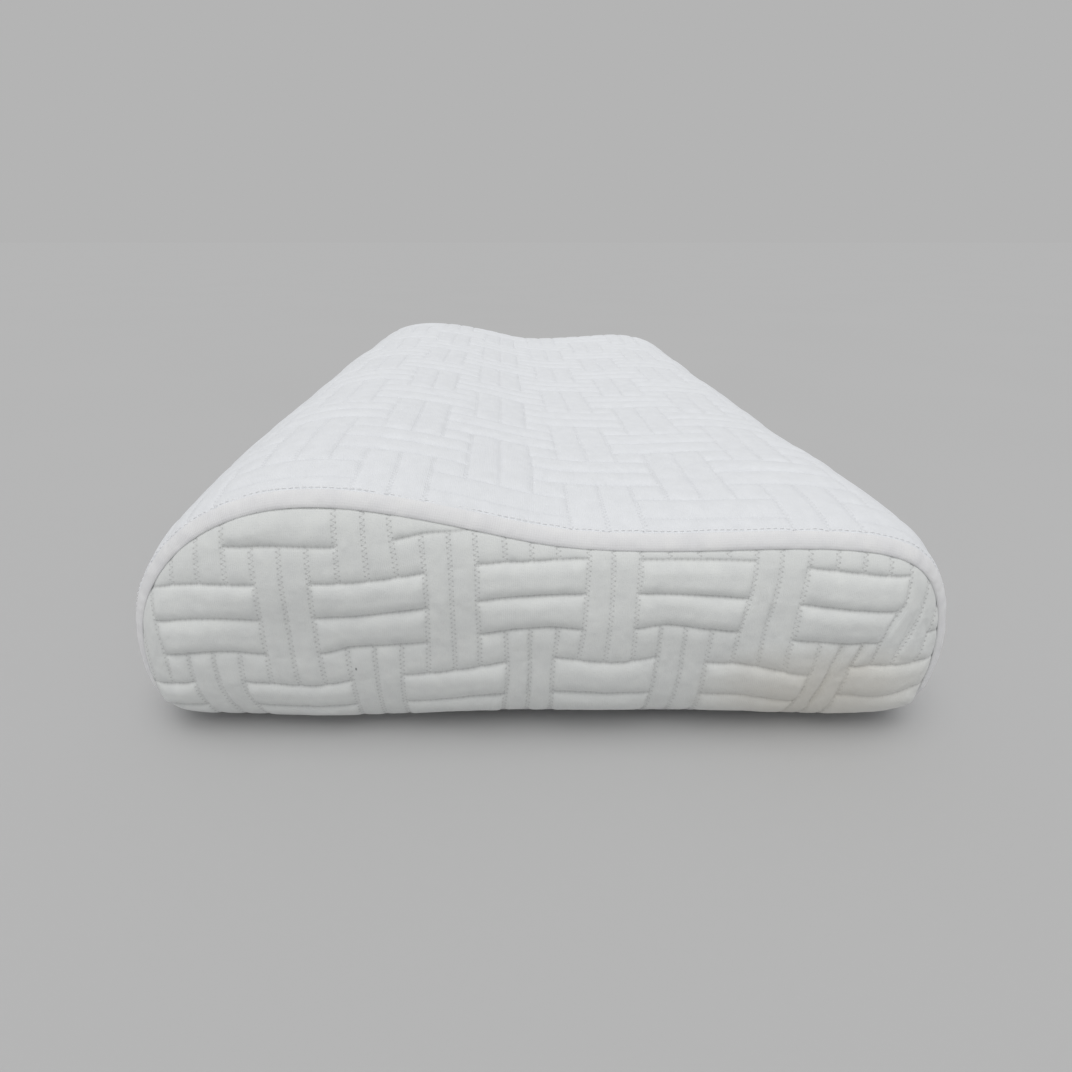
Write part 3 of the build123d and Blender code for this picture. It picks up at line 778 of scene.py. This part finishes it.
def spaced(s0, s1, n, side, inset):
    """n points along the seam curve from s0 to s1 (s1 > s0), evenly spaced, moved in by inset."""
    s = np.linspace(s0, s1, 4000)
    x, z, nx, nz = on_profile(s)
    d = seam_depth(s, side) + inset
    p = np.stack([x + nx * d, z + nz * d], 1)
    run = np.concatenate([[0], np.cumsum(np.hypot(*np.diff(p, axis=0).T))])
    t = np.linspace(0, run[-1], n)
    return np.stack([np.interp(t, run, p[:, 0]), np.interp(t, run, p[:, 1])], 1)


def seam_ring(side, count=2400):
    s = np.linspace(0, GIRTH, count, endpoint=False)
    x, z, nx, nz = on_profile(s)
    d = seam_depth(s, side)
    p = np.stack([x + nx * d, z + nz * d], 1)
    t = np.roll(p, -1, 0) - np.roll(p, 1, 0)
    t /= np.hypot(t[:, 0], t[:, 1])[:, None]
    n = np.stack([t[:, 1], -t[:, 0]], 1)
    if (n * np.stack([nx, nz], 1)).sum() < 0:
        n = -n
    return s, p, n


def depth_inside(x, z, ring):
    """Signed distance inside the seam, and the arc length of the nearest point of the seam."""
    rs, rp, rn = ring
    q = np.stack([x.ravel(), z.ravel()], 1)
    dist, near = np.empty(len(q)), np.empty(len(q))
    for i in range(0, len(q), 6000):
        c = q[i:i + 6000]
        e = (c[:, None, 0] - rp[None, :, 0]) ** 2 + (c[:, None, 1] - rp[None, :, 1]) ** 2
        k = e.argmin(1)
        far = np.sqrt(e[np.arange(len(k)), k])
        across = ((c - rp[k]) * rn[k]).sum(1)
        dist[i:i + 6000] = np.where(far < 6, across, np.sign(across) * far)
        near[i:i + 6000] = rs[k]
    return dist.reshape(x.shape), near.reshape(x.shape)


def dome_height(e):
    inside = BULGE * (1 - (1 - np.clip(e / 40.0, 0, 1)) ** 2)
    return np.where(e < 0, BULGE * e / 20.0, inside)


def soft_dome(ring):
    """The bulge of an end without the ridges a plain distance would leave; a function of x and z."""
    step, sigma = 1.6, 6.0
    gx, gz = np.arange(-240, 240, step), np.arange(-50, 190, step)
    x, z = np.meshgrid(gx, gz, indexing="ij")
    e, _ = depth_inside(x, z, ring)
    field = dome_height(np.clip(e, -25, None))
    fx, fz = np.fft.fftfreq(len(gx))[:, None], np.fft.fftfreq(len(gz))[None]
    k = np.exp(-2 * np.pi**2 * (sigma / step) ** 2 * (fx**2 + fz**2))
    field = np.fft.ifft2(np.fft.fft2(field) * k).real

    def at(x, z):
        u, v = (x - gx[0]) / step, (z - gz[0]) / step
        i, j = u.astype(int), v.astype(int)
        u, v = u - i, v - j
        return ((field[i, j] * (1 - u) + field[i + 1, j] * u) * (1 - v)
                + (field[i, j + 1] * (1 - u) + field[i + 1, j + 1] * u) * v)

    return at


def corner_s(x, z):
    return s_of(x, z)


S_BL, S_TL = s_of(-193, 12), s_of(-172, 105)
S_TR, S_BR = s_of(180, 92), s_of(194, 12)
# in order round the outline, increasing s: bottom left -> top left -> top right -> bottom right
if S_TL < S_BL:
    S_BL -= GIRTH

# creases pressed into the -Y end: (x0, z0, x1, z1, width, depth); depth < 0 is a ridge
CREASES = [
    (178, 62, 184, 44, 1.6, 0.9), (172, 66, 179, 50, 1.5, 0.6), (166, 72, 161, 52, 1.3, 0.7),
    (158.5, 75, 150.5, 57, 1.4, 1.0), (143, 58, 139, 40, 1.4, 0.5), (134.5, 58, 128.6, 22, 1.3, 1.0),
    (152, 62, 143, 48, 2.6, -0.6), (146, 60, 136, 40, 1.6, 0.4), (160, 50, 176, 43, 2.0, 0.4),
    (182, 40, 176, 26, 1.8, 0.5), (174, 30, 184, 22, 2.0, 0.6), (-150, 22, -143, 14, 1.5, 0.5),
    (-6, 62, -5.8, 26, 1.0, 0.7), (52, 66, 51.2, 20, 1.0, 0.5), (-75.6, 56, -75.4, 24, 1.0, 0.45),
    (-149, 47, -146, 18, 1.1, 0.45), (63, 60, 62.4, 24, 1.0, 0.4), (100.5, 84, 97.6, 54, 1.1, 0.6),
    (-112.6, 74, -112.6, 46, 0.9, 0.3),
]


def segment_distance(x, z, x0, z0, x1, z1):
    dx, dz = x1 - x0, z1 - z0
    t = np.clip(((x - x0) * dx + (z - z0) * dz) / (dx * dx + dz * dz), 0, 1)
    return np.hypot(x - x0 - t * dx, z - z0 - t * dz), t


def end_panel(side, name, node, seed):
    n, m = ((560, 170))
    rim = -1.1
    left = spaced(S_BL, S_TL, m, side, rim)
    top = spaced(S_TL, S_TR, n, side, rim)
    right = spaced(S_TR, S_BR, m, side, rim)[::-1]
    bottom = spaced(S_BR, S_BL + GIRTH, n, side, rim)[::-1]
    g = coons(bottom, right, top, left)
    x, z = g[..., 0], g[..., 1]
    ring = seam_ring(side)
    e, near = depth_inside(x, z, ring)
    if side < 0:
        c = 11 + (x + 39.8) / 11.72 + front_c(x, z)
        r = 1 + (95 - z) / 17.0 + front_r(x, z + 1.0)
    else:
        wx, wz = 1.4 * noise(x, z, 60.0, seed), 1.6 * noise(x, z, 70.0, seed + 1)
        c = 3.4 + (-x + 21 + wx + 0.06 * (z - 60)) / 11.72
        r = 2.3 + (90 - z + wz + 5 * np.cos(x / 90)) / 17.3
    pad = end_quilt_pad(c, r)
    pad *= 1 + 0.18 * noise(x, z, 26.0, seed + 2)
    # small puckers drawn in by the rows of stitching
    row_off = np.abs(r - np.round(r)) * 17.3
    pad += 0.20 * np.exp(-row_off / 2.6) * noise(x, z * 0.35, 3.4, seed + 3)
    pad += 0.30 * noise(x, z, 17.0, seed + 4, 2) + 0.09 * noise(x, z, 4.2, seed + 6, 2)
    if side < 0:
        for x0, z0, x1, z1, w, depth in CREASES:
            dd, t = segment_distance(x, z, x0, z0, x1, z1)
            pad -= depth * np.exp(-((dd / w) ** 2)) * np.sin(np.pi * np.clip(0.12 + 0.76 * t, 0, 1)) ** 0.5
    else:
        for k in range(9):
            rs = np.random.RandomState(seed + 50 + k)
            x0, z0 = rs.uniform(-170, 170), rs.uniform(24, 70)
            dd, t = segment_distance(x, z, x0, z0, x0 + rs.uniform(-9, 9), z0 - rs.uniform(12, 26))
            pad -= rs.uniform(0.3, 0.8) * np.exp(-((dd / rs.uniform(1.1, 2.0)) ** 2)) * np.sin(np.pi * np.clip(t, 0.1, 0.9))
    settle = smooth(e, 0.3, 8.0)
    blend = smooth(e, 2.5, 9.0)
    dome = dome_height(e) * (1 - blend) + soft_dome(ring)(x, z) * blend
    gap = 1.5 * np.exp(-np.clip(e + 0.5, 0, None) / 1.1)
    y = SEAM_Y - 0.3 + dome - gap + pad * (0.3 + 0.7 * settle)
    # along the bottom the cloth turns under to its seam, less so in the middle
    low = tuck(near) / 7.0
    y -= 7.0 * low * np.exp(-((np.clip(e, 0, None) / 1.7) ** 2))
    reach = np.interp(-side * x, [-185, -150, -110, -80, -60, -40, 0, 60, 100, 130, 145, 165, 190],
                      [2.8, 2.4, 1.0, 1.4, 3.0, 5.0, 7.0, 6.2, 5.0, 2.8, 2.0, 2.4, 3.0])
    y -= reach * low * np.exp(-((np.clip(e, 0, None) / 8.0) ** 2)) * (1 - np.exp(-((np.clip(e, 0, None) / 2.0) ** 2)))
    v = np.stack([x, side * y, z], -1)
    ob = mesh(name, v, grid_faces(n, m, flip=side > 0), mat_end if side < 0 else mat_end_back,
              {"fab_c": c, "fab_r": r}, replaces=[node])
    return ob


end_panel(-1, "end_quilt_front", "end_panel_front", 300)
end_panel(1, "end_quilt_back", "end_panel_back", 400)


# ------------------------------------------------------------------------------------------
# Welts and topstitching
# ------------------------------------------------------------------------------------------
S_UNDER = s_of(0, 0)


def welt(side, name, node, seed):
    n, m = ((1600, 26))
    s = np.linspace(0, GIRTH, n, endpoint=False)[:, None]
    join = smooth(np.minimum(s, GIRTH - s), 0, 30)      # the two ends meet underneath
    a = np.arange(m) / m * 2 * np.pi
    run = np.sign(np.cos(a)) * np.abs(np.cos(a)) ** 0.8          # +1 at the seam, -1 at the topstitching
    rise = np.sign(np.sin(a)) * np.abs(np.sin(a)) ** 0.85
    puff = 1.2 * (1 + join * (0.10 * noise(s, 0 * s, 14.0, seed) + 0.08 * noise(s, 0 * s, 5.0, seed + 1)))
    mid, half = (WELT_Y + SEAM_Y) / 2 + 0.05, (SEAM_Y - WELT_Y) / 2 - 0.05
    s = s + S_UNDER
    drawn = tuck(s)
    base = mid + half * run[None] - drawn
    thin = 1 - 0.45 * beside(s)
    h = np.where(rise[None] > 0, puff * thin * rise[None], 1.0 * rise[None]) - 0.4
    h = h + join * 0.09 * noise(s, a[None] * 4.0, 3.2, seed + 2) * np.clip(rise[None], 0, 1)
    # the knit is drawn in slightly at each stitch
    h = h - 0.10 * np.clip(-run[None], 0, 1) ** 3 * (0.5 + 0.5 * np.cos(2 * np.pi * s / 3.0)) * (rise[None] > 0)
    x, z, nx, nz = on_profile(s)
    slope = slope_at(base)
    size = np.sqrt(1 + slope**2)
    d = shrink(base) - h / size - lumps(s, side * (base + drawn)) - 0.9 * beside(s) * (0.5 + 0.5 * run[None])
    yy = base + h * slope / size
    v = np.stack(np.broadcast_arrays(x + nx * d, side * yy, z + nz * d), -1)
    v[..., 2] = np.maximum(v[..., 2], 0.15)
    ob = mesh(name, v, grid_faces(n, m, close_n=True, close_m=True, flip=side > 0), mat_welt,
              {"fab_c": np.broadcast_to(s, (n, m)), "fab_r": np.broadcast_to(run[None] * half, (n, m))},
              replaces=[node])
    return ob


def dashes(name, pts, nor, pitch, length, radius, node, lift=0.22):
    """Separate stitches along a polyline pts that lie on the cloth, nor outward."""
    run = np.concatenate([[0], np.cumsum(np.linalg.norm(np.diff(pts, axis=0), axis=1))])
    count = int(run[-1] / pitch)
    t0 = (np.arange(count) + 0.5) * run[-1] / count
    k = 7
    t = t0[:, None] + np.linspace(-0.5, 0.5, k)[None] * length
    bow = lift + radius * 0.9 - (lift + radius * 2.2) * np.abs(np.linspace(-1, 1, k)) ** 3
    p = np.stack([np.interp(t, run, pts[:, a]) for a in range(3)], -1)
    q = np.stack([np.interp(t, run, nor[:, a]) for a in range(3)], -1)
    v, f = tubes(p + q * bow[None, :, None], radius)
    return mesh(name, v, f, mat_thread, replaces=[node])


for side, end in ((-1, "front"), (1, "back")):
    welt(side, f"welt_{end}", f"edge_welt_{end}", 500 + side)
    s = np.linspace(0, GIRTH, 2600)
    y = np.full_like(s, side * STITCH_Y)
    height = cover_height(s, y, c_of_s(s), (y - Y_AT) / PR)
    p0, out = wrap_frame(s, y, height)
    p0[:, 2] = np.maximum(p0[:, 2], 0.5)
    dashes(f"stitches_{end}", p0, out, 2.9, 2.3, 0.15, f"topstitch_{end}")

# ------------------------------------------------------------------------------------------
# Inner sleeve and foam core
# ------------------------------------------------------------------------------------------
def inner(name, node, material, inset, reach, seed, cell):
    """A closed, rounded body just inside the cover, inset from its outline."""
    n, m = 260, 110
    s = np.linspace(0, GIRTH, n, endpoint=False)[:, None]
    v = np.linspace(-1, 1, m)[None]
    y = reach * np.sign(v) * (1 - (1 - np.abs(v)) ** 1.6)
    t = np.clip((np.abs(y) - (reach - 22)) / 22, 0, 1)
    d = inset + 9.3 * np.exp(-(END_PLANE - np.minimum(np.abs(y), 280)) / DROOP_LENGTH) * 0.6 + 16 * (1 - np.sqrt(1 - t**2 * 0.98))
    d = d + 0.35 * noise(s, y, cell, seed) * (1 - t)
    x, z, nx, nz = on_profile(s)
    body_v = np.stack(np.broadcast_arrays(x + nx * d, y + 0 * s, z + nz * d), -1)
    ends = []
    faces = grid_faces(n, m, close_n=True)
    base = body_v.reshape(-1, 3)
    count = len(base)
    caps, cap_f = [], []
    for col, flip in ((0, False), (m - 1, True)):
        ring_ids = np.arange(n) * m + col
        prev = ring_ids
        centre_line = np.stack([np.clip(body_v[:, col, 0], -130, 130), body_v[:, col, 1],
                                np.full(n, 0.0)], -1)
        top = np.interp(centre_line[:, 0], [-200, -110, 20, 120, 200], [50, 64, 55, 56, 48])
        centre_line[:, 2] = top
        for k in range(1, 9):
            w = k / 8
            p = body_v[:, col] * (1 - w) + centre_line * w
            p[:, 1] = body_v[:, col, 1] + np.sign(body_v[0, col, 1]) * 0.8 * w
            ids = count + np.arange(n)
            caps.append(p)
            count += n
            a, b = prev, np.roll(prev, -1)
            c, dd = np.roll(ids, -1), ids
            q = np.stack([a, b, c, dd], 1)
            cap_f.append(q[:, ::-1] if flip else q)
            prev = ids
    verts = np.concatenate([base] + caps)
    allf = np.concatenate([faces] + cap_f)
    fab_c = np.concatenate([np.broadcast_to(s, (n, m)).ravel()] + [c[:, 0] for c in caps])
    fab_r = np.concatenate([np.broadcast_to(y, (n, m)).ravel()] + [c[:, 2] for c in caps])
    ob = mesh(name, verts, allf, material, {"fab_c": fab_c, "fab_r": fab_r}, replaces=[node])
    return ob


inner("inner_sleeve", "core_liner", mat_liner, 6.0, 283.0, 700, 24.0)
inner("foam_block", "foam_core", mat_foam, 7.4, 281.0, 710, 60.0)

# ------------------------------------------------------------------------------------------
# Zip
# ------------------------------------------------------------------------------------------
for node in ("zipper_tape_upper", "zipper_tape_lower"):
    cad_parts[node].data.materials.clear()
    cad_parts[node].data.materials.append(mat_tape)
for node in ("zipper_top_stops", "zipper_bottom_stop"):
    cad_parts[node].data.materials.clear()
    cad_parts[node].data.materials.append(mat_coil)
for node in ("zipper_slider", "zipper_pull"):
    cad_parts[node].data.materials.clear()
    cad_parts[node].data.materials.append(mat_paint)

PITCH = 1.45
for name, sign in (("upper", 1), ("lower", -1)):
    turns = int((COIL_Y1 - COIL_Y0 - 1.5) / PITCH)
    per = 14
    a = np.linspace(0, turns * 2 * np.pi, turns * per + 1)
    yy = COIL_Y0 + 0.7 + a / (2 * np.pi) * PITCH + (PITCH / 2 if sign < 0 else 0)
    zz = ZIP_Z + sign * (1.42 + 1.45 * np.cos(a))
    xx = (COIL_X0 + COIL_X1) / 2 + 0.74 * np.sin(a)
    v, f = tubes(np.stack([xx, yy, zz], -1)[None], 0.31, sides=6, taper=False)
    mesh(f"coil_{name}", v, f, mat_coil, replaces=[f"zipper_coil_{name}"])

# two rows of stitching beside the slot
paths_v, paths_f, base = [], [], 0
for sign in (1, -1):
    y = np.linspace(-SLOT_Y, SLOT_Y, 1200)
    s = np.full_like(y, S_ZIP + sign * (SLOT_H + 2.9))
    height = cover_height(s, y, c_of_s(s), (y - Y_AT) / PR)
    p0, p1 = wrap_point(s, y, height), wrap_point(s, y, height + 1)
    run = y - y[0]
    count = int(run[-1] / 2.9)
    t = ((np.arange(count) + 0.5) * run[-1] / count)[:, None] + np.linspace(-1.08, 1.08, 7)[None]
    bow = 0.32 - 0.6 * np.abs(np.linspace(-1, 1, 7)) ** 3
    p = np.stack([np.interp(t, run, p0[:, k]) for k in range(3)], -1)
    q = np.stack([np.interp(t, run, (p1 - p0)[:, k]) for k in range(3)], -1)
    v, f = tubes(p + q * bow[None, :, None], 0.23)
    paths_v.append(v)
    paths_f.append(f + base)
    base += len(v)
mesh("zip_stitches", np.concatenate(paths_v), np.concatenate(paths_f), mat_thread,
     replaces=["zipper_stitching"])

# bartacks: dense zigzag across each end of the slot
tacks = []
for y0 in (-SLOT_Y - 1.6, SLOT_Y + 1.6):
    k = 33
    zz = np.linspace(-7.3, 7.3, k)
    yy = y0 + np.where(np.arange(k) % 2, 0.85, -0.85)
    s = np.array([S_ZIP]) + zz
    height = cover_height(s, yy, c_of_s(s), (yy - Y_AT) / PR)
    near = np.abs(zz) < 3
    p = wrap_point(s, yy, np.maximum(height, -0.4) + 0.4)
    fine = np.stack([np.interp(np.linspace(0, k - 1, 4 * k), np.arange(k), p[:, a]) for a in range(3)], -1)
    tacks.append(fine)
v, f = tubes(np.stack(tacks), 0.26, taper=True)
mesh("bartack_threads", v, f, mat_thread, replaces=["zipper_bartacks"])

# ------------------------------------------------------------------------------------------
# Care label: a short blank satin tape sewn in under the zip
# ------------------------------------------------------------------------------------------
lab_lo, lab_hi = (np.array(v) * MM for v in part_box("care_label"))
n, m = 60, 70
u, w = np.linspace(0, 1, n)[:, None], np.linspace(0, 1, m)[None]
ly = lab_lo[1] + (lab_hi[1] - lab_lo[1]) * u + 0 * w
lz = lab_hi[2] - (lab_hi[2] - lab_lo[2]) * w + 0 * u
sv = np.array([s_of(ZIP_X, zz) for zz in np.linspace(lab_hi[2], lab_lo[2], m)])
face_x = np.array([on_profile(a)[0] for a in sv])[None]
lift = 0.42 + 0.75 * smooth(w, 0.0, 0.3)
curl = 1.5 * w**2.2 + (0.5 * np.sin(u * 5.2 + 0.6) + 0.9 * (u - 0.5) ** 2 * 2) * w**1.5 + 0.15 * w * noise(ly, lz, 9.0, 900)
lx = np.minimum(face_x + 0 * u, ZIP_X + 0.15 + 0 * u) - lift - curl
front = np.stack(np.broadcast_arrays(lx, ly, lz), -1)
back = front + np.array([0.22, 0, 0])
fv = np.concatenate([front.reshape(-1, 3), back.reshape(-1, 3)])
ff = [grid_faces(n, m), grid_faces(n, m, flip=True) + n * m]
edge = np.concatenate([np.arange(n) * m, (n - 1) * m + np.arange(1, m), (np.arange(n - 2, -1, -1)) * m + m - 1,
                       np.arange(m - 2, 0, -1)])
nxt = np.roll(edge, -1)
ff.append(np.stack([edge, edge + n * m, nxt + n * m, nxt], 1))
uu = np.broadcast_to(u * 32, (n, m)).ravel()
ww = np.broadcast_to(w * 24, (n, m)).ravel()
label = mesh("blank_label", fv, np.concatenate(ff), mat_satin,
             {"fab_c": np.concatenate([uu, uu]), "fab_r": np.concatenate([ww, ww])},
             replaces=["care_label"])

# ------------------------------------------------------------------------------------------
# Stage: pale floor, soft light, camera
# ------------------------------------------------------------------------------------------
GREY = lin(180, 180, 180)
floor_mat = Nodes("floor")
fn = floor_mat.noise(floor_mat.position(), 3.0, 2.0)
floor_mat.set(color=floor_mat.ramp(fn, [(0.2, (0.518, 0.518, 0.518)), (0.8, (0.526, 0.526, 0.526))]), rough=1.0, spec=0.0)
me = bpy.data.meshes.new("floor")
R = 60.0
me.from_pydata([(-R, -R, 0), (R, -R, 0), (R, R, 0), (-R, R, 0)], [], [(0, 1, 2, 3)])
floor = bpy.data.objects.new("floor", me)
bpy.context.scene.collection.objects.link(floor)
me.materials.append(floor_mat.mat)

sun = bpy.data.lights.new("key", "SUN")
sun.energy = 1.30
sun.angle = math.radians(50)
sun.color = (1.0, 0.995, 0.985)
key = bpy.data.objects.new("key", sun)
bpy.context.scene.collection.objects.link(key)
key.rotation_euler = Vector((0.05, 0.27, -1.0)).to_track_quat("-Z", "Y").to_euler()

world = bpy.data.worlds.new("studio")
bpy.context.scene.world = world
world.use_nodes = True
wt = world.node_tree
wt.nodes.clear()
wo = wt.nodes.new("ShaderNodeOutputWorld")
amb, seen = wt.nodes.new("ShaderNodeBackground"), wt.nodes.new("ShaderNodeBackground")
amb.inputs[0].default_value, amb.inputs[1].default_value = (0.985, 0.99, 1.0, 1), 0.50
seen.inputs[0].default_value, seen.inputs[1].default_value = (*GREY, 1), 1.0
path, mixer = wt.nodes.new("ShaderNodeLightPath"), wt.nodes.new("ShaderNodeMixShader")
wt.links.new(path.outputs["Is Camera Ray"], mixer.inputs[0])
wt.links.new(amb.outputs[0], mixer.inputs[1])
wt.links.new(seen.outputs[0], mixer.inputs[2])
wt.links.new(mixer.outputs[0], wo.inputs[0])

cam_data = bpy.data.cameras.new("camera")
cam_data.sensor_width = 36.0
cam_data.sensor_fit = "HORIZONTAL"
cam_data.lens = 614.4 / 1072 * 36.0
cam_data.shift_x = (536 - 500.06) / 1072
cam_data.clip_start, cam_data.clip_end = 0.01, 200
camera = bpy.data.objects.new("camera", cam_data)
bpy.context.scene.collection.objects.link(camera)
camera.location = (-0.0192, -0.5265, 0.2211)
camera.rotation_euler = (math.pi / 2 - 0.449, 0, 0)
bpy.context.scene.camera = camera
bpy.context.scene.view_settings.view_transform = "Standard"
bpy.context.scene.view_settings.look = "None"
